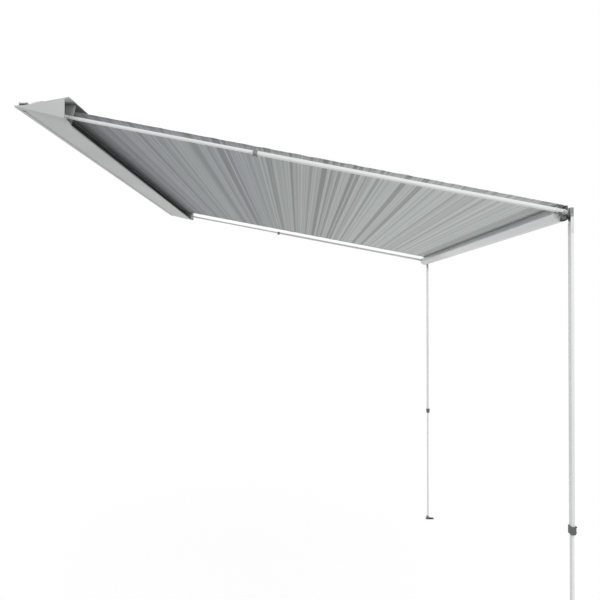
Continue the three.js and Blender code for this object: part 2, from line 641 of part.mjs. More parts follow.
// Telescopic tube: outer, clamp collar with its lever, inner and the plug that guides it inside.
// Its own frame runs along +X from the jointed end, and the lever lies on the +Z side.
const leverWide = 12;
const leverThick = 3;
const leverHub = 2.8;
const leverPin = 1.5;
const leverLift = 3.4;
const leverCurl = 3;
const earWall = 2;
const earRadius = 3.2;
const plugHead = 5;
const rafterSeat = 9; // how far a collar holds the outer tube
const rafterLead = 6; // and the inner one
const rafterCollarWall = 1.6;
const rafterLever = 13;
const legSeat = 20;
const legLead = 9;
const legCollarWall = 2.6;
const legLever = 22;
const onTube = (geometry, side) => geometry.translate(0, side * tubeMiddle, 0);
const hollowTube = (width, height, wall, corner, from, to) => {
  const outline = easedBox(width, height, corner);
  const inside = easedBox(width - 2 * wall, height - 2 * wall, corner / 2);
  outline.holes.push(new THREE.Path(inside.getPoints().reverse()));
  return alongX(outline, from, to);
};
const telescope = (name, side, sideName, frame, tube) => {
  const { outerFrom, outerTo, innerTo, seat, lead, wall, arm } = tube;
  const put = (piece, geometry, material) =>
    place(`${name}_${piece}_${sideName}`, onTube(geometry, side), material, frame);
  put('outer', hollowTube(tubeWidth, tubeHeight, tubeWall, tubeCorner, outerFrom, outerTo), whiteCoat);

  const collarHigh = tubeHeight + 2 * wall;
  const collarWide = tubeWidth + 2 * wall;
  const top = collarHigh / 2;
  const hubX = outerTo - seat + earRadius;
  const hubZ = top + leverLift;
  const block = alongX(easedBox(collarWide, collarHigh, tubeCorner), outerTo - seat, outerTo + lead);
  const outerHole = alongX(
    easedBox(tubeWidth + 2 * fit, tubeHeight + 2 * fit, tubeCorner), outerTo - seat - overrun, outerTo + fit);
  const innerHole = alongX(
    easedBox(innerWidth + 2 * fit, innerHeight + 2 * fit, tubeCorner / 2), outerTo, outerTo + lead + overrun);
  const earShape = new THREE.Shape([
    point(hubX - earRadius, top - wall / 2),
    point(hubX + earRadius, top - wall / 2),
    ...arcPoints(hubX, hubZ, earRadius, 0, Math.PI, roundSteps),
  ]);
  const earStart = leverWide / 2 + fit;
  const ears = [-1, 1].map((way) => acrossY(earShape, way, earStart, earStart + earWall));
  const earBore = alongY(circle(hubX, hubZ, leverPin + fit), -collarWide, collarWide);
  put('collar', cut(join(block, ...ears), outerHole, innerHole, earBore), darkPlastic);

  const leverLine = easedPath([
    [hubX, hubZ + leverThick / 2, 0],
    [hubX + arm - leverCurl, hubZ + leverThick / 2, leverCurl],
    [hubX + arm, hubZ + leverThick / 2 + leverCurl, 0],
  ], cornerSteps);
  const handle = alongY(ribbon(leverLine, -leverThick), -leverWide / 2, leverWide / 2);
  const hub = alongY(circle(hubX, hubZ, leverHub), -leverWide / 2, leverWide / 2);
  const leverAxle = alongY(circle(hubX, hubZ, leverPin), -earStart - earWall, earStart + earWall);
  put('lever', join(handle, hub, leverAxle), darkPlastic);

  const innerFrom = outerTo - overlapLength;
  const inner = hollowTube(innerWidth, innerHeight, innerWall, tubeCorner / 2, innerFrom, innerTo);
  put('inner', tube.innerCut ? cut(inner, tube.innerCut) : inner, whiteCoat);
  const plug = join(
    alongX(easedBox(innerWidth, innerHeight, tubeCorner / 2), innerFrom - fit - plugHead, innerFrom - fit),
    alongX(box(-spigotWidth / 2, -spigotHeight / 2, spigotWidth / 2, spigotHeight / 2),
      innerFrom - fit - plugHead / 2, innerFrom + spigotLength / 2),
  );
  put('slide_plug', plug, whitePlastic);
};

// Rafters: telescopic tubes from the bar up to a fork on each wall pin
const forkRadius = 8;
const forkNeck = 14;
const rafterTubes = new THREE.Group();
rafterTubes.position.z = -rafterLift;
rafterFrame.add(rafterTubes);
for (const [sideName, side] of sides) {
  telescope('rafter', side, sideName, rafterTubes, {
    outerFrom: tipLength + fit,
    outerTo: rafterClampAt,
    innerTo: rafterReach - forkNeck - fit,
    seat: rafterSeat,
    lead: rafterLead,
    wall: rafterCollarWall,
    arm: rafterLever,
  });
  const hubStart = bayInside + fit;
  const hub = acrossY(circle(0, 0, forkRadius), side, hubStart, bayOutside - fit);
  const [neckInside, neckOutside] = [tubeMiddle - innerWidth / 2, tubeMiddle + innerWidth / 2];
  const neckShape = box(0, rafterLift - innerHeight / 2, forkNeck, rafterLift + innerHeight / 2);
  const neck = acrossY(neckShape, side, neckInside, neckOutside);
  const [spigotInside, spigotOutside] = [tubeMiddle - spigotWidth / 2, tubeMiddle + spigotWidth / 2];
  const spigotShape = box(
    forkNeck / 2, rafterLift - spigotHeight / 2, forkNeck + spigotLength, rafterLift + spigotHeight / 2);
  const spigot = acrossY(spigotShape, side, spigotInside, spigotOutside);
  const bore = acrossY(circle(0, 0, pinRadius + fit), side, bayInside - overrun, bayOutside + overrun);
  place(`rafter_eye_${sideName}`, cut(join(hub, neck, spigot), bore), whitePlastic, incline);
}

// Leg tops: a tall knuckle that swings on the bar's lug, with a tongue that the folding leg turns on,
// and a fork on the leg whose outer cover rises over the knuckle
const knuckleHalf = 7;
const knuckleTop = 27; // above the swing pin
const knuckleStep = 5; // below the swing pin, where the leg's cover ends
const knuckleEase = 2;
const knuckleBlockTop = lugRadius + 5 * fit; // below the swing pin, clear of the lug
const foldDrop = 34; // swing pin to fold pin
const foldTongue = 2.8;
const foldTongueRadius = 9;
const foldCheekRadius = 12;
const foldRadius = 2.6;
const coverWall = 1.9;
const foldSlotEnd = 13;
const foldNeck = 30;
const foldZ = swingZ - foldDrop;
const knuckleBlockEnd = foldDrop - foldCheekRadius - fit;
const coverTop = foldDrop - knuckleStep - 2 * fit;
const legShift = legX - swingX;
const cheekHigh = tubeHeight / 2;
const footPinTravel = legDrop + foldZ;
const soleThick = 5;
const soleLift = 18; // foot pin above the ground
const footPinAt = footPinTravel - soleLift;
const footPinRadius = 3;
const innerPastPin = 6;
const footLugRadius = 8;
const footLug = 3.5;
const soleInside = 16;
const soleOutside = 44;
const soleWide = 30;
const soleCorner = 6;
const pegHole = 10;
const pegFromEdge = 8;
for (const [sideName, side] of sides) {
  const knuckle = new THREE.Group();
  knuckle.position.set(barX + swingX, side * tubeMiddle, barZ + swingZ);
  awning.add(knuckle);
  const half = tubeWidth / 2 - fit;
  const lowHalf = half - coverWall;
  const cheekInner = lugHalf + fit;
  const cheekMiddle = (knuckleTop - knuckleStep) / 2;
  const cheekShape = easedBox(2 * knuckleHalf, knuckleTop + knuckleStep, knuckleEase, 0, cheekMiddle);
  const lowShape = (top) => box(legShift - cheekHigh, -knuckleBlockEnd, knuckleHalf, top);
  const cheeks = [-1, 1].map((way) => join(
    acrossY(cheekShape, way, cheekInner, half),
    acrossY(lowShape(knuckleEase - knuckleStep), way, cheekInner, lowHalf),
  ));
  const block = alongY(lowShape(-knuckleBlockTop), -lowHalf, lowHalf);
  const tongueDown = box(-foldTongueRadius, -foldDrop, foldTongueRadius, -knuckleBlockEnd + overrun);
  const [tongueFrom, tongueTo] = [legShift - foldTongue, legShift + foldTongue];
  const tongueFlat = join(
    alongX(tongueDown, tongueFrom, tongueTo),
    alongX(circle(0, -foldDrop, foldTongueRadius), tongueFrom, tongueTo),
  );
  const knuckleBores = [
    alongY(circle(0, 0, swingRadius + fit), -tubeWidth, tubeWidth),
    alongX(circle(0, -foldDrop, foldRadius + fit), -tubeWidth, tubeWidth),
  ];
  place(`leg_knuckle_${sideName}`, cut(join(block, ...cheeks, tongueFlat), ...knuckleBores), bareMetal, knuckle);

  const foldPin = alongX(circle(0, -foldDrop, foldRadius), legShift - cheekHigh, legShift + cheekHigh);
  place(`leg_fold_pin_${sideName}`, foldPin, steel, knuckle);

  // The leg's own frame runs down from the fold pin, with the lever on the side away from the wall
  const leg = new THREE.Group();
  leg.position.set(barX + legX, 0, barZ + foldZ);
  leg.rotation.y = Math.PI / 2;
  awning.add(leg);
  const topBlock = join(
    alongX(box(-foldCheekRadius, -cheekHigh, foldCheekRadius, cheekHigh), 0, foldNeck),
    new THREE.ExtrudeGeometry(circle(0, 0, foldCheekRadius), {
      depth: tubeHeight, bevelEnabled: false, curveSegments: roundSteps,
    }).translate(0, 0, -cheekHigh),
    alongX(box(-innerWidth / 2, -innerHeight / 2, innerWidth / 2, innerHeight / 2),
      foldNeck - overrun, foldNeck + spigotLength),
  );
  const slot = alongX(
    box(-tubeWidth, -foldTongue - fit, tubeWidth, foldTongue + fit), -tubeWidth, foldSlotEnd);
  const foldBore = new THREE.ExtrudeGeometry(circle(0, 0, foldRadius + fit), {
    depth: 2 * tubeHeight, bevelEnabled: false, curveSegments: roundSteps,
  }).translate(0, 0, -tubeHeight);
  const coverEdges = [tubeWidth / 2 - coverWall, tubeWidth / 2].map((y) => side * y).sort((a, b) => a - b);
  const cover = alongX(box(coverEdges[0], -cheekHigh, coverEdges[1], cheekHigh), -coverTop, foldNeck);
  place(`leg_top_${sideName}`, onTube(join(cut(topBlock, slot, foldBore), cover), side), whitePlastic, leg);

  telescope('leg', side, sideName, leg, {
    outerFrom: foldNeck + fit,
    outerTo: legClampAt + foldZ,
    innerTo: footPinAt + innerPastPin,
    innerCut: alongY(circle(footPinAt, 0, footPinRadius + fit), -tubeWidth, tubeWidth),
    seat: legSeat,
    lead: legLead,
    wall: legCollarWall,
    arm: legLever,
  });

  const lugStart = innerWidth / 2 + fit;
  const footBore = alongY(circle(footPinAt, 0, footPinRadius + fit), -tubeWidth, tubeWidth);
  const lugs = [-1, 1].map((way) => join(
    acrossY(circle(footPinAt, 0, footLugRadius), way, lugStart, lugStart + footLug),
    acrossY(box(footPinAt, -footLugRadius, footPinTravel - soleThick / 2, footLugRadius),
      way, lugStart, lugStart + footLug),
  ));
  const soleMiddle = (soleOutside - soleInside) / 2;
  const sole = easedBox(soleWide, soleInside + soleOutside, soleCorner, 0, soleMiddle);
  const peg = soleOutside - pegFromEdge - pegHole / 2;
  sole.holes.push(new THREE.Path(
    box(-pegHole / 2, peg - pegHole / 2, pegHole / 2, peg + pegHole / 2).getPoints().reverse()));
  const plate = alongX(sole, footPinTravel - soleThick, footPinTravel);
  place(`foot_${sideName}`, onTube(cut(join(plate, ...lugs), footBore), side), darkPlastic, leg);

  const footPinHead = lugStart + footLug + fit;
  const footShank = alongY(
    circle(footPinAt, 0, footPinRadius), -footPinHead - thinHead / 2, footPinHead + thinHead / 2);
  const footHeads = [-1, 1].map((way) =>
    acrossY(circle(footPinAt, 0, swingHead), way, footPinHead, footPinHead + thinHead));
  place(`foot_pin_${sideName}`, onTube(join(footShank, ...footHeads), side), steel, leg);
}

export default awning;
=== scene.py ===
# Roll-out awning for a caravan wall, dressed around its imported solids.
# Metres, +X out from the wall, +Y along it, +Z up, origin at the middle of the wall rail's back face.
import json
import math

import bmesh
import bpy
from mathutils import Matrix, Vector

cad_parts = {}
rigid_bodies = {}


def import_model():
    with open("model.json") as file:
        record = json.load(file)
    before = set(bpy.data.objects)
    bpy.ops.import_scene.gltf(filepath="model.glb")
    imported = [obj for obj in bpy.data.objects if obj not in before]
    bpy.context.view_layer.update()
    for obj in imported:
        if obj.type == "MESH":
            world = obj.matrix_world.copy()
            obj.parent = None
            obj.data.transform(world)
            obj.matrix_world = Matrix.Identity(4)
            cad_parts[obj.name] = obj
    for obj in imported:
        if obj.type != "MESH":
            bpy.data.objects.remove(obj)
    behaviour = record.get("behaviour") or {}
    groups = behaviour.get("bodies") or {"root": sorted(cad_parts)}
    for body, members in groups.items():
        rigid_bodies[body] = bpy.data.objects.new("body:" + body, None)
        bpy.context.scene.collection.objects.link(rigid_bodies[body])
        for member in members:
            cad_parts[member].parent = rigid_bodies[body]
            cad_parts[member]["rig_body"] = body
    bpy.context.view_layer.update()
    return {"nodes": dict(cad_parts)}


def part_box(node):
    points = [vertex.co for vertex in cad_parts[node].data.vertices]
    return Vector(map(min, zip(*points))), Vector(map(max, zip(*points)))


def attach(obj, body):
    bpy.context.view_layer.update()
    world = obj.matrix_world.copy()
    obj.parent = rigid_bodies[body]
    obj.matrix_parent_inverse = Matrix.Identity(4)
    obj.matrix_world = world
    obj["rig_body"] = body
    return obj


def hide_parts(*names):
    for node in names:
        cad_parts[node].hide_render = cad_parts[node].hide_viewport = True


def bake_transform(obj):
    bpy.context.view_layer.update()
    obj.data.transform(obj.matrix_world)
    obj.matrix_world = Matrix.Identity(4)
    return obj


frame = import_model()

# Camera: stands near the awning's left end, below the cloth, and looks along the caravan wall,
# so everything parallel to the wall runs to one point.
camera_at = (1.005, -3.424, -0.707)
camera_lens = 36.24
camera_sensor = 36
camera_lift = math.radians(0.43)
camera_turn = math.radians(-0.047)
camera_data = bpy.data.cameras.new("camera")
camera_data.lens = camera_lens
camera_data.sensor_width = camera_sensor
camera = bpy.data.objects.new("camera", camera_data)
camera.location = camera_at
camera.rotation_euler = (math.pi / 2 + camera_lift, 0, camera_turn)
bpy.context.collection.objects.link(camera)
bpy.context.scene.camera = camera
bpy.context.scene.view_settings.view_transform = "Standard"

# Studio: a plain pale floor under the feet, an even white sky and one broad soft lamp from the open side.
# Seen directly or mirrored, floor and sky are white, and the floor keeps the shadows.
# To all other light the floor is a mid grey, so that it does not light the cloth's underside too much.
floor_size = 60
floor_colour = (0.93, 0.93, 0.93, 1)
floor_bounce = (0.68, 0.68, 0.68, 1)
floor_glow = 0.72
floor_share = 0.36
floor_gap = 0.0005
sky_strength = 0.86
lamp_power = 70
lamp_size = 4
lamp_at = Vector((3.4, -4.8, 2.6))
lamp_aim = Vector((1.0, 0.0, -0.8))
floor_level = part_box("foot_left")[0].z - floor_gap
white = (1, 1, 1, 1)


def seen_ray(nodes, links):
    """1 for what the camera sees directly or through a mirror or glass."""
    path = nodes.new("ShaderNodeLightPath")
    either = nodes.new("ShaderNodeMath")
    either.operation = "MAXIMUM"
    links.new(path.outputs["Is Camera Ray"], either.inputs[0])
    links.new(path.outputs["Is Glossy Ray"], either.inputs[1])
    all_three = nodes.new("ShaderNodeMath")
    all_three.operation = "MAXIMUM"
    links.new(either.outputs[0], all_three.inputs[0])
    links.new(path.outputs["Is Transmission Ray"], all_three.inputs[1])
    return all_three.outputs[0]


bpy.ops.object.select_all(action="DESELECT")
bpy.ops.mesh.primitive_plane_add(size=floor_size, location=(0, 0, floor_level))
floor = bpy.context.object
floor.name = "floor"
floor_paint = bpy.data.materials.new("studio_floor")
floor_paint.use_nodes = True
nodes, links = floor_paint.node_tree.nodes, floor_paint.node_tree.links
nodes.remove(nodes["Principled BSDF"])
matt = nodes.new("ShaderNodeBsdfDiffuse")
matt.inputs["Color"].default_value = floor_colour
glow = nodes.new("ShaderNodeEmission")
glow.inputs["Strength"].default_value = floor_glow / (1 - floor_share)
seen_floor = nodes.new("ShaderNodeMixShader")
seen_floor.inputs["Fac"].default_value = floor_share
links.new(glow.outputs[0], seen_floor.inputs[1])
links.new(matt.outputs[0], seen_floor.inputs[2])
bounce = nodes.new("ShaderNodeBsdfDiffuse")
bounce.inputs["Color"].default_value = floor_bounce
either = nodes.new("ShaderNodeMixShader")
links.new(seen_ray(nodes, links), either.inputs["Fac"])
links.new(bounce.outputs[0], either.inputs[1])
links.new(seen_floor.outputs[0], either.inputs[2])
links.new(either.outputs[0], nodes["Material Output"].inputs["Surface"])
floor.data.materials.append(floor_paint)

world = bpy.data.worlds.new("studio_sky")
world.use_nodes = True
bpy.context.scene.world = world
nodes, links = world.node_tree.nodes, world.node_tree.links
sky = nodes["Background"]
sky.inputs["Color"].default_value = white
sky.inputs["Strength"].default_value = sky_strength
seen_sky = nodes.new("ShaderNodeBackground")
seen_sky.inputs["Color"].default_value = white
seen_sky.inputs["Strength"].default_value = 1
either = nodes.new("ShaderNodeMixShader")
links.new(seen_ray(nodes, links), either.inputs["Fac"])
links.new(sky.outputs[0], either.inputs[1])
links.new(seen_sky.outputs[0], either.inputs[2])
links.new(either.outputs[0], nodes["World Output"].inputs["Surface"])

lamp_data = bpy.data.lights.new("soft_lamp", "AREA")
lamp_data.energy = lamp_power
lamp_data.size = lamp_size
lamp = bpy.data.objects.new("soft_lamp", lamp_data)
lamp.location = lamp_at
lamp.rotation_euler = (lamp_aim - lamp_at).to_track_quat("-Z", "Y").to_euler()
bpy.context.collection.objects.link(lamp)

# Wall rail: one aluminium extrusion almost as long as the case, screwed flat to the caravan wall.
# Its lower edge hooks round the case's lower back corner. Left bare, so the die's fine lines show along it.
rail_bright = (0.51, 0.515, 0.52, 1)
rail_dark = (0.44, 0.445, 0.45, 1)
rail_gloss = 0.42
draw_line = 0.0007
draw_length = 300
draw_depth = 0.00002
line_glossier = 0.06
line_duller = 0.1


def new_finish(name, roughness, metallic=0.0):
    """A fresh principled material with its nodes, links and shader."""
    finish = bpy.data.materials.new(name)
    finish.use_nodes = True
    nodes, links = finish.node_tree.nodes, finish.node_tree.links
    shader = nodes["Principled BSDF"]
    shader.inputs["Roughness"].default_value = roughness
    shader.inputs["Metallic"].default_value = metallic
    return finish, nodes, links, shader


def noise(nodes, links, size, stretch=(1, 1, 1), detail=2.0):
    """Noise over the piece, with features of that size in metres, drawn out along an axis."""
    place = nodes.new("ShaderNodeTexCoord")
    mapping = nodes.new("ShaderNodeMapping")
    mapping.inputs["Scale"].default_value = [1 / (size * s) for s in stretch]
    texture = nodes.new("ShaderNodeTexNoise")
    texture.inputs["Scale"].default_value = 1
    texture.inputs["Detail"].default_value = detail
    links.new(place.outputs["Object"], mapping.inputs["Vector"])
    links.new(mapping.outputs["Vector"], texture.inputs["Vector"])
    return texture.outputs["Fac"]


def two_tone(nodes, links, mask, first, second, socket, low=0.35, high=0.65):
    """Colours a socket from one tone to the other as the mask rises."""
    ramp = nodes.new("ShaderNodeValToRGB")
    ramp.color_ramp.elements[0].position = low
    ramp.color_ramp.elements[0].color = first
    ramp.color_ramp.elements[1].position = high
    ramp.color_ramp.elements[1].color = second
    links.new(mask, ramp.inputs["Fac"])
    links.new(ramp.outputs["Color"], socket)


def relief(nodes, links, height, depth, shader):
    """Raises the surface by the height map, to that depth in metres."""
    bump = nodes.new("ShaderNodeBump")
    bump.inputs["Strength"].default_value = 1
    bump.inputs["Distance"].default_value = depth
    links.new(height, bump.inputs["Height"])
    links.new(bump.outputs["Normal"], shader.inputs["Normal"])


def varied(nodes, links, mask, low, high, socket):
    """Moves a plain number socket between two values with the mask."""
    span = nodes.new("ShaderNodeMapRange")
    span.inputs["To Min"].default_value = low
    span.inputs["To Max"].default_value = high
    links.new(mask, span.inputs["Value"])
    links.new(span.outputs["Result"], socket)


def drawn(name, bright, dark, roughness, stretch):
    """Bare metal with fine lines along one axis."""
    finish, nodes, links, shader = new_finish(name, roughness, 1.0)
    lines = noise(nodes, links, draw_line, stretch)
    two_tone(nodes, links, lines, dark, bright, shader.inputs["Base Color"])
    roughness_span = (roughness - line_glossier, roughness + line_duller)
    varied(nodes, links, lines, *roughness_span, shader.inputs["Roughness"])
    relief(nodes, links, lines, draw_depth, shader)
    return finish


def both(*names):
    """The left and right node of each name."""
    return [f"{name}_{side}" for name in names for side in ("left", "right")]


def finish_nodes(finish, *names):
    """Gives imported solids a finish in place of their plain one."""
    for name in names:
        for slot in frame["nodes"][name].material_slots:
            slot.material = finish


rail_metal = drawn("drawn_aluminium", rail_bright, rail_dark, rail_gloss, (1, draw_length, 1))
finish_nodes(rail_metal, "wall_rail")

# Wall seal: a soft grey rubber strip with a hollow bulb, pressed between the case's back edge and the wall.
# Extruded, so it is dull and even, with a dusty bloom.
seal_grey = (0.60, 0.605, 0.61, 1)
seal_bloom = (0.67, 0.675, 0.68, 1)
seal_dull = 0.8
bloom_size = 0.02
rubber_grain = 0.0009
rubber_depth = 0.00004
seal_edge = 0.0002
flat_angle = math.radians(0.5)
sharp_angle = math.radians(35)
merge_gap = 0.00001
edge_steps = 2


def rubber(name, colour, bloom):
    """Extruded rubber with a dusty bloom and a fine open grain."""
    finish, nodes, links, shader = new_finish(name, seal_dull)
    two_tone(nodes, links, noise(nodes, links, bloom_size), colour, bloom, shader.inputs["Base Color"])
    relief(nodes, links, noise(nodes, links, rubber_grain), rubber_depth, shader)
    return finish


def finished(name, finish, edge):
    """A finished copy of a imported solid: one skin, smooth where it curves, its edges just broken."""
    solid = frame["nodes"][name]
    piece = bpy.data.objects.new(f"{name}_finished", solid.data.copy())
    bpy.context.collection.objects.link(piece)
    bpy.ops.object.select_all(action="DESELECT")
    piece.select_set(True)
    bpy.context.view_layer.objects.active = piece
    bpy.ops.object.mode_set(mode="EDIT")
    bpy.ops.mesh.select_all(action="SELECT")
    bpy.ops.mesh.remove_doubles(threshold=merge_gap)
    bpy.ops.mesh.dissolve_limited(angle_limit=flat_angle)
    bpy.ops.object.mode_set(mode="OBJECT")
    bpy.ops.mesh.customdata_custom_splitnormals_clear()
    rounding = piece.modifiers.new("edge", "BEVEL")
    rounding.width = edge
    rounding.segments = edge_steps
    rounding.limit_method = "ANGLE"
    rounding.angle_limit = sharp_angle
    bpy.ops.object.modifier_apply(modifier=rounding.name)
    bpy.ops.object.shade_smooth_by_angle(angle=sharp_angle)
    piece.data.materials.clear()
    piece.data.materials.append(finish)
    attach(piece, solid["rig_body"])
    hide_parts(name)
    return piece


seal_rubber = rubber("grey_rubber", seal_grey, seal_bloom)
finished("wall_seal", seal_rubber, seal_edge)

# Case shell: an open-fronted aluminium extrusion that hooks into the wall rail by a bead on its back.
# Powder coated light grey, matt, with a fine orange peel and slightly dulled in long patches;
# inside, the faces are given a darker grey coat, a painted shade for the shade within the case.
case_grey = (0.655, 0.66, 0.66, 1)
case_dull = (0.625, 0.63, 0.63, 1)
case_roughness = 0.5
peel_size = 0.0016
peel_depth = 0.00006
dull_patch = 0.35
patch_glossier = 0.05
patch_duller = 0.08
shell_edge = 0.0003
inside_painted_shade_grey = (0.36, 0.365, 0.365, 1)
inside_painted_shade_dull = (0.33, 0.335, 0.335, 1)
shell_heart = Vector((0.105, 0, 0))
shell_back = 0.004
inside_lean = 0.2


def coat(name, colour, dull, roughness):
    """Powder coat: an even colour, faintly dulled in patches, with orange peel."""
    finish, nodes, links, shader = new_finish(name, roughness)
    patch = noise(nodes, links, dull_patch)
    two_tone(nodes, links, patch, colour, dull, shader.inputs["Base Color"])
    roughness_span = (roughness - patch_glossier, roughness + patch_duller)
    varied(nodes, links, patch, *roughness_span, shader.inputs["Roughness"])
    relief(nodes, links, noise(nodes, links, peel_size), peel_depth, shader)
    return finish


grey_coat = coat("grey_powder_coat", case_grey, case_dull, case_roughness)
painted_shade_coat = coat("inside_painted_shade_coat", inside_painted_shade_grey, inside_painted_shade_dull, case_roughness)
shell = finished("case_shell", grey_coat, shell_edge)
# The faces inside the shell take the darker coat: painted shade for the shade inside the case.
shell.data.materials.append(painted_shade_coat)
for face in shell.data.polygons:
    inwards = shell_heart - face.center
    inwards.y = 0
    if face.center.x > shell_back and face.normal.dot(inwards.normalized()) > inside_lean:
        face.material_index = 1

# Case ends: moulded caps pushed into the shell's ends by two tabs and coated to match it, a touch darker.
# They slope to a smaller end face and sweep out into a lower front corner; a foot covers the rail's end.
cap_grey = (0.60, 0.605, 0.605, 1)
cap_dull = (0.575, 0.58, 0.58, 1)
cap_edge = 0.0008
cap_coat = coat("grey_cap_coat", cap_grey, cap_dull, case_roughness)
for name in both("case_end"):
    finished(name, cap_coat, cap_edge)

# Cloth rail: a slotted aluminium channel hung from the shell's roof, with a solid rubber bead in it.
# The bead lies in the cloth's sewn edge and keeps it from pulling out.
bead_black = (0.022, 0.022, 0.023, 1)
bead_bloom = (0.05, 0.05, 0.052, 1)
finish_nodes(rail_metal, "cloth_rail")
bead_rubber = rubber("black_rubber", bead_black, bead_bloom)
finish_nodes(bead_rubber, "cloth_bead")

# Rafter brackets: a cheek, a back web and a sole in grey nylon, hooked over the shell's lower lip.
# A turned steel pin with two heads goes through each and carries the rafter.
nylon_mid = (0.31, 0.315, 0.314, 1)
nylon_mid_worn = (0.36, 0.365, 0.364, 1)
nylon_roughness = 0.5
nylon_patch = 0.03
nylon_grain = 0.0008
nylon_depth = 0.00005
bracket_edge = 0.0008
steel_bright = (0.36, 0.36, 0.365, 1)
steel_dark = (0.27, 0.27, 0.275, 1)
steel_gloss = 0.35
pin_edge = 0.0004


def moulded(name, colour, worn, roughness):
    """Moulded plastic with a fine spark-eroded grain, a little worn in patches."""
    finish, nodes, links, shader = new_finish(name, roughness)
    two_tone(nodes, links, noise(nodes, links, nylon_patch), colour, worn, shader.inputs["Base Color"])
    relief(nodes, links, noise(nodes, links, nylon_grain), nylon_depth, shader)
    return finish


mid_nylon = moulded("mid_grey_nylon", nylon_mid, nylon_mid_worn, nylon_roughness)
steel = drawn("turned_steel", steel_bright, steel_dark, steel_gloss, (1, 1, 1))
for name in both("rafter_bracket"):
    finished(name, mid_nylon, bracket_edge)
for name in both("rafter_pin"):
    finished(name, steel, pin_edge)

# Rafters: a thin tube from the wall slides in a thicker one from the bar, both coated white.
# An off-white nylon eye turns on the wall pin and an off-white end hooks over the bar's axle.
coat_white = (0.86, 0.865, 0.865, 1)
coat_white_dull = (0.83, 0.835, 0.835, 1)
coat_gloss = 0.4
nylon_white = (0.8, 0.805, 0.805, 1)
nylon_white_worn = (0.74, 0.745, 0.74, 1)
tube_edge = 0.0002
fitting_edge = 0.0009
white_coat = coat("white_powder_coat", coat_white, coat_white_dull, coat_gloss)
white_nylon = moulded("white_nylon", nylon_white, nylon_white_worn, nylon_roughness)
for name in both("rafter_inner", "rafter_outer"):
    finished(name, white_coat, tube_edge)
for name in both("rafter_eye", "rafter_tip"):
    finished(name, white_nylon, fitting_edge)
finish_nodes(white_nylon, *both("rafter_slide_plug"))

# Rafter clamps: a dark nylon collar where the thin tube goes into the thick one, faded by the weather.
# A small lever in its two ears presses on the thin tube.
nylon_faded = (0.235, 0.238, 0.241, 1)
nylon_faded_worn = (0.285, 0.288, 0.291, 1)
clamp_edge = 0.0005
faded_nylon = moulded("faded_dark_nylon", nylon_faded, nylon_faded_worn, nylon_roughness)
for name in both("rafter_collar", "rafter_lever"):
    finished(name, faded_nylon, clamp_edge)

# Bar ends: a dark nylon bracket with an open rim for the rafter and a lug for the leg.
# A steel axle with a flat head runs through it into the roller's plug, and a steel pin through the lug.
nylon_dark = (0.1, 0.102, 0.105, 1)
nylon_dark_worn = (0.13, 0.132, 0.135, 1)
bar_end_edge = 0.0008
dark_nylon = moulded("dark_nylon", nylon_dark, nylon_dark_worn, nylon_roughness)
for name in both("end_bracket"):
    finished(name, dark_nylon, bar_end_edge)
for name in both("axle", "leg_swing_pin"):
    finished(name, steel, pin_edge)

# Roller: an aluminium tube with a slotted channel for the cloth's front bead and off-white nylon end plugs.
# Its thin silvery white lacquer is satin and mirrors the cloth above it and the ground below.
roller_bright = (0.63, 0.635, 0.64, 1)
roller_dark = (0.58, 0.585, 0.59, 1)
roller_satin = 0.28
roller_metal = 0.85
roller_line_depth = 0.000008
roller_glossier = 0.04
roller_duller = 0.06
roller_edge = 0.0003
plug_edge = 0.0008
satin_lacquer, nodes, links, shader = new_finish("satin_silver_lacquer", roller_satin, roller_metal)
die_lines = noise(nodes, links, draw_line, (1, draw_length, 1))
two_tone(nodes, links, die_lines, roller_dark, roller_bright, shader.inputs["Base Color"])
roughness_span = (roller_satin - roller_glossier, roller_satin + roller_duller)
varied(nodes, links, die_lines, *roughness_span, shader.inputs["Roughness"])
relief(nodes, links, die_lines, roller_line_depth, shader)
finished("roller_tube", satin_lacquer, roller_edge)
for name in both("roller_plug"):
    finished(name, white_nylon, plug_edge)
finish_nodes(bead_rubber, "front_bead")

# Cloth: one sheet of striped awning cloth, drawn tight from the case to the roller.
# Woven from yarns dyed in several greys, bluer towards the wall, with a doubled hem sewn down each side.
# Its colour is also painted darker towards the wall, a painted shade under the case,
# and a little darker on the hems, a painted shade for the doubled cloth.
# Its place on the slope is given by the distance from the wall pins, which the rafters turn on.
slope = math.radians(10.786)
pin = Vector((0.150, 0, -0.027))
down = Vector((math.cos(slope), 0, -math.sin(slope)))
up = Vector((math.sin(slope), 0, math.cos(slope)))
cloth_from = -0.0309
cloth_seam = 0.040
cloth_to = 1.8497
cloth_height = 0.0308
half_cloth = 1.215
cloth_thick = 0.0007
cloth_columns = 60
sheet_rows = 236
root_rows = 9
sag = 0.003
edge_pull = 4
ripple = 0.0006
long_wave = 61
short_wave = 97
short_wave_share = 0.6
short_wave_slant = 1.3
short_wave_start = 1
hem_wide = 0.05
hem_lift = 0.0008
# Painted shade: the doubled hems are coloured a little darker, as they let less light through.
hem_columns = 3
hem_painted_shade_tone = 0.94
stitch_inset = 0.003
stitch_half = 0.0006
stitch_pitch = 0.0045
stitch_share = 0.72
stitch_dark = 0.6
stitch_raise = 6.0
weave_pitch = 0.0012
weave_depth = 0.00007
cloth_roughness = 0.62
cloth_sheen = 0.15


def cloth_point(along, across):
    """A point of the taut cloth, with its sag and slight ripples along the wall."""
    share = (along - cloth_from) / (cloth_to - cloth_from)
    hold = math.sin(math.pi * min(max(share, 0), 1))
    edge = 1 - (abs(across) / half_cloth) ** edge_pull
    low = sag * hold * edge
    slanted = along * short_wave + across * short_wave_slant + short_wave_start
    wave = math.sin(along * long_wave) + short_wave_share * math.sin(slanted)
    height = cloth_height - low + ripple * wave * hold
    return pin + down * along + up * height + Vector((0, across, 0))


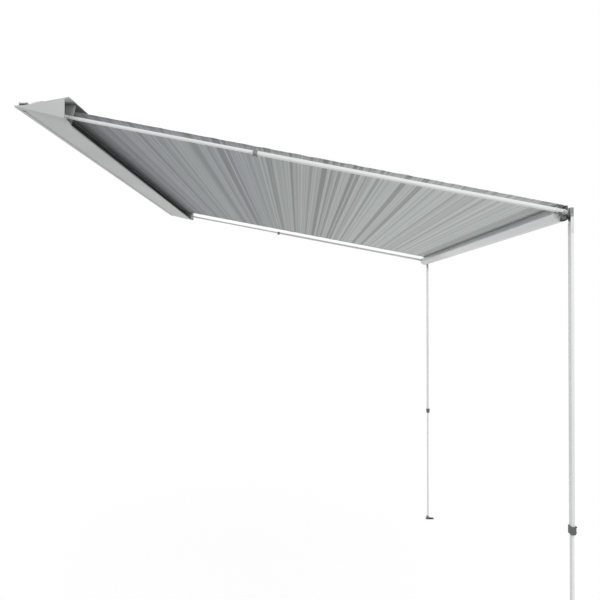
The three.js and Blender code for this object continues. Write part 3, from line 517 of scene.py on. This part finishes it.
def cloth_piece(name, lines, columns):
    """A closed thin body of cloth through lines of (place for a width, along, first across, last across)."""
    mesh = bpy.data.meshes.new(name)
    shell = bmesh.new()
    uv = shell.loops.layers.uv.new("cloth")
    grid = []
    for place, along, first, last in lines:
        line = []
        for column in range(columns + 1):
            across = first + (last - first) * column / columns
            line.append((shell.verts.new(place(across)), along, across))
        grid.append(line)
    for row in range(len(grid) - 1):
        for column in range(columns):
            corners = [grid[row][column], grid[row + 1][column],
                       grid[row + 1][column + 1], grid[row][column + 1]]
            face = shell.faces.new([corner[0] for corner in corners])
            face.smooth = True
            for loop, (_, along, across) in zip(face.loops, corners):
                loop[uv].uv = (along, across)
    shell.to_mesh(mesh)
    shell.free()
    piece = bpy.data.objects.new(name, mesh)
    bpy.context.collection.objects.link(piece)
    wall = piece.modifiers.new("thickness", "SOLIDIFY")
    wall.thickness = cloth_thick
    wall.offset = 0
    bpy.ops.object.select_all(action="DESELECT")
    piece.select_set(True)
    bpy.context.view_layer.objects.active = piece
    bpy.ops.object.modifier_apply(modifier=wall.name)
    return piece


def taut(along_from, along_to, rows, across_from, across_to, lift=0.0):
    """The lines of a stretch of the taut cloth, for cloth_piece."""
    lines = []
    for row in range(rows + 1):
        along = along_from + (along_to - along_from) * row / rows
        lines.append((lambda across, along=along: cloth_point(along, across) + up * lift,
                      along, across_from, across_to))
    return lines


cloth, nodes, links, shader = new_finish("striped_awning_cloth", cloth_roughness)
shader.inputs["Sheen Weight"].default_value = cloth_sheen
place = nodes.new("ShaderNodeUVMap")
place.uv_map = "cloth"
split = nodes.new("ShaderNodeSeparateXYZ")
links.new(place.outputs["UV"], split.inputs["Vector"])
along_cloth, across_cloth = split.outputs["X"], split.outputs["Y"]


def number(operation, first, second=None):
    """One step of arithmetic on two sockets or plain numbers."""
    step = nodes.new("ShaderNodeMath")
    step.operation = operation
    for socket, value in zip(step.inputs, (first, second)):
        if isinstance(value, (int, float)):
            socket.default_value = value
        elif value is not None:
            links.new(value, socket)
    return step.outputs[0]


def tones(stops, interpolation):
    """A ramp along the cloth through (metres from the wall pin, tone) stops."""
    ramp = nodes.new("ShaderNodeValToRGB")
    ramp.color_ramp.interpolation = interpolation
    while len(ramp.color_ramp.elements) < len(stops):
        ramp.color_ramp.elements.new(0)
    for element, (at, tone) in zip(ramp.color_ramp.elements, stops):
        element.position = at / cloth_to
        element.color = (*tone, 1)
    links.new(number("DIVIDE", along_cloth, cloth_to), ramp.inputs["Fac"])
    return ramp.outputs["Color"]


# The ground tones from the wall to the bar, darkest at the wall, where they are part dye and part painted
# shade,
# then the wide stripes laid over them: (middle, width, depth).
# A ramp holds up to 32 stops, so the stripes are shared out over two.
ground_tones_with_painted_shade = [
    (0.00, (0.31, 0.318, 0.335)),
    (0.05, (0.345, 0.356, 0.385)),
    (0.19, (0.44, 0.465, 0.495)),
    (0.40, (0.48, 0.51, 0.51)),
    (0.56, (0.465, 0.49, 0.52)),
    (0.70, (0.50, 0.535, 0.53)),
    (0.95, (0.56, 0.595, 0.585)),
    (1.22, (0.67, 0.71, 0.695)),
    (1.51, (0.72, 0.76, 0.745)),
    (1.85, (0.77, 0.81, 0.795)),
]
wide_stripes = [
    (0.095, 0.022, 0.78),
    (0.150, 0.012, 0.80),
    (0.223, 0.020, 0.66),
    (0.299, 0.024, 0.76),
    (0.340, 0.010, 0.82),
    (0.437, 0.022, 0.68),
    (0.498, 0.014, 0.72),
    (0.546, 0.024, 0.62),
    (0.574, 0.012, 0.74),
    (0.656, 0.014, 0.72),
    (0.737, 0.018, 0.70),
    (0.829, 0.018, 0.74),
    (0.912, 0.010, 0.80),
    (0.961, 0.022, 0.58),
    (0.992, 0.010, 0.66),
    (1.022, 0.012, 0.70),
    (1.071, 0.014, 0.64),
    (1.096, 0.010, 0.60),
    (1.127, 0.012, 0.60),
    (1.175, 0.014, 0.70),
    (1.270, 0.024, 0.62),
    (1.334, 0.022, 0.68),
    (1.486, 0.012, 0.74),
    (1.542, 0.012, 0.80),
    (1.592, 0.012, 0.80),
    (1.786, 0.012, 0.86),
]
plain = (1, 1, 1)
half_the_stripes = len(wide_stripes) // 2
# The ground tones carry painted shade, darker towards the wall; the stripes laid over them are dye.
dye_and_painted_shade = tones(ground_tones_with_painted_shade, "EASE")
for stripes in (wide_stripes[:half_the_stripes], wide_stripes[half_the_stripes:]):
    stripe_stops = [(0.0, plain)]
    for middle, width, depth in stripes:
        stripe_stops.append((middle - width / 2, (depth, depth, depth)))
        stripe_stops.append((middle + width / 2, plain))
    striped = nodes.new("ShaderNodeVectorMath")
    striped.operation = "MULTIPLY"
    links.new(dye_and_painted_shade, striped.inputs[0])
    links.new(tones(stripe_stops, "CONSTANT"), striped.inputs[1])
    dye_and_painted_shade = striped.outputs["Vector"]

stripe_detail = 2
narrow_stripes = {"scale": 55, "noise_span": (0.36, 0.6), "depths": (0.82, 1.06), "start": 3.1}
single_yarns = {"scale": 170, "noise_span": (0.35, 0.62), "depths": (0.84, 1.09), "start": 11.7}


def fine_stripes(scale, noise_span, depths, start):
    """Irregular stripes along the wall, as a factor between the two depths."""
    texture = nodes.new("ShaderNodeTexNoise")
    texture.noise_dimensions = "1D"
    texture.inputs["Scale"].default_value = scale
    texture.inputs["Detail"].default_value = stripe_detail
    links.new(number("ADD", along_cloth, start), texture.inputs["W"])
    span = nodes.new("ShaderNodeMapRange")
    for name, value in zip(("From Min", "From Max", "To Min", "To Max"), (*noise_span, *depths)):
        span.inputs[name].default_value = value
    links.new(texture.outputs["Fac"], span.inputs["Value"])
    return span.outputs["Result"]


def line_mask(inset):
    """1 on a line that far in from either side of the cloth."""
    from_line = number("SUBTRACT", number("ABSOLUTE", across_cloth), half_cloth - inset)
    return number("LESS_THAN", number("ABSOLUTE", from_line), stitch_half)


def weave(axis_socket):
    """Ridges of one set of yarns."""
    phase = number("MULTIPLY", axis_socket, 2 * math.pi / weave_pitch)
    return number("SINE", phase)


yarns = number("MULTIPLY", fine_stripes(**narrow_stripes), fine_stripes(**single_yarns))
# The hems are tinted darker here: painted shade for the doubled cloth.
hem_edge = number("GREATER_THAN", number("ABSOLUTE", across_cloth), half_cloth - hem_wide)
hem_painted_shade = number("SUBTRACT", 1.0, number("MULTIPLY", hem_edge, 1 - hem_painted_shade_tone))
dash = number("LESS_THAN", number("FRACT", number("DIVIDE", along_cloth, stitch_pitch)), stitch_share)
seams = number("ADD", line_mask(hem_wide - stitch_inset), line_mask(stitch_inset * 2))
sewn = number("MULTIPLY", dash, seams)
sewn_shade = number("SUBTRACT", 1.0, number("MULTIPLY", sewn, 1 - stitch_dark))
shade = number("MULTIPLY", number("MULTIPLY", yarns, hem_painted_shade), sewn_shade)
tone = nodes.new("ShaderNodeVectorMath")
tone.operation = "SCALE"
links.new(dye_and_painted_shade, tone.inputs[0])
links.new(shade, tone.inputs["Scale"])
links.new(tone.outputs["Vector"], shader.inputs["Base Color"])
ridges = number("ADD", weave(along_cloth), weave(across_cloth))
relief(nodes, links, number("ADD", ridges, number("MULTIPLY", sewn, stitch_raise)), weave_depth, shader)

hem_inside = half_cloth - hem_wide

for side_name, side in (("left", -1), ("right", 1)):
    edges = sorted((side * hem_inside, side * half_cloth))
    hem_lines = taut(cloth_seam, cloth_to, sheet_rows, *edges, hem_lift)
    hem = cloth_piece(f"canopy_hem_{side_name}", hem_lines, hem_columns)
    hem.data.materials.append(cloth)
    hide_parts("canopy")
    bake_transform(hem)

sheet_lines = taut(cloth_seam, cloth_to, sheet_rows, -half_cloth, half_cloth)
canopy = cloth_piece("canopy_sheet", sheet_lines, cloth_columns)
canopy.data.materials.append(cloth)
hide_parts("canopy")
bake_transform(canopy)

root_lines = taut(cloth_from, cloth_seam, root_rows, -half_cloth, half_cloth)
canopy_root = cloth_piece("canopy_root", root_lines, cloth_columns)
canopy_root.data.materials.append(cloth)
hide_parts("canopy")
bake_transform(canopy_root)

# Cloth on the roller: the last of the sheet goes over the top of the roller and down into its groove.
# The front bead is sewn into its end and cannot pull through the slot.
bar_reach = 1.850
bar_axis = pin + down * bar_reach
wrap_radius = 0.0308
wrap_from = math.pi / 2 - slope
groove_at = math.radians(36)
tuck_to = 0.0281
wrap_half = 1.213
turn_steps = 14
tuck_steps = 3
wrap_columns = 12
wrap_lines = []
wrap_length = 0.0
wrap_steps = [(wrap_radius, wrap_from + (groove_at - wrap_from) * step / turn_steps)
              for step in range(turn_steps + 1)]
wrap_steps += [(wrap_radius - (wrap_radius - tuck_to) * step / tuck_steps, groove_at)
               for step in range(1, tuck_steps + 1)]
last = None
for radius, angle in wrap_steps:
    spot = bar_axis + Vector((radius * math.cos(angle), 0, radius * math.sin(angle)))
    wrap_length += (spot - last).length if last else 0
    last = spot
    wrap_lines.append((lambda across, spot=spot: spot + Vector((0, across, 0)),
                       cloth_to + wrap_length, -wrap_half, wrap_half))
wrap = cloth_piece("canopy_on_roller", wrap_lines, wrap_columns)
wrap.data.materials.append(cloth)
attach(wrap, "roller")
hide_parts("canopy_wrap")

# Leg joints: an aluminium knuckle swings on the bar's lug, and the leg folds on a pin through its tongue.
# The knuckle is cast and tumbled, so it is plain and matt; the leg's forked top is off-white nylon.
cast_bright = (0.25, 0.253, 0.257, 1)
cast_dark = (0.20, 0.203, 0.207, 1)
cast_gloss = 0.5
knuckle_edge = 0.0008
cast_metal = drawn("cast_aluminium", cast_bright, cast_dark, cast_gloss, (1, 1, 1))
for name in both("leg_knuckle"):
    finished(name, cast_metal, knuckle_edge)
for name in both("leg_fold_pin"):
    finished(name, steel, pin_edge)
for name in both("leg_top"):
    finished(name, white_nylon, fitting_edge)

# Legs: the rafters' two tubes again, upright, with a stronger dark clamp between them.
# Its lever lies on the side away from the wall.
leg_clamp_edge = 0.0007
for name in both("leg_outer", "leg_inner"):
    finished(name, white_coat, tube_edge)
for name in both("leg_collar", "leg_lever"):
    finished(name, dark_nylon, leg_clamp_edge)
finish_nodes(white_nylon, *both("leg_slide_plug"))

# Feet: flat dark nylon soles that tilt on a pin through the inner tube, with a square hole for a peg.
# The pin is riveted over at both ends.
foot_edge = 0.0009
for name in both("foot"):
    finished(name, dark_nylon, foot_edge)
for name in both("foot_pin"):
    finished(name, steel, pin_edge)
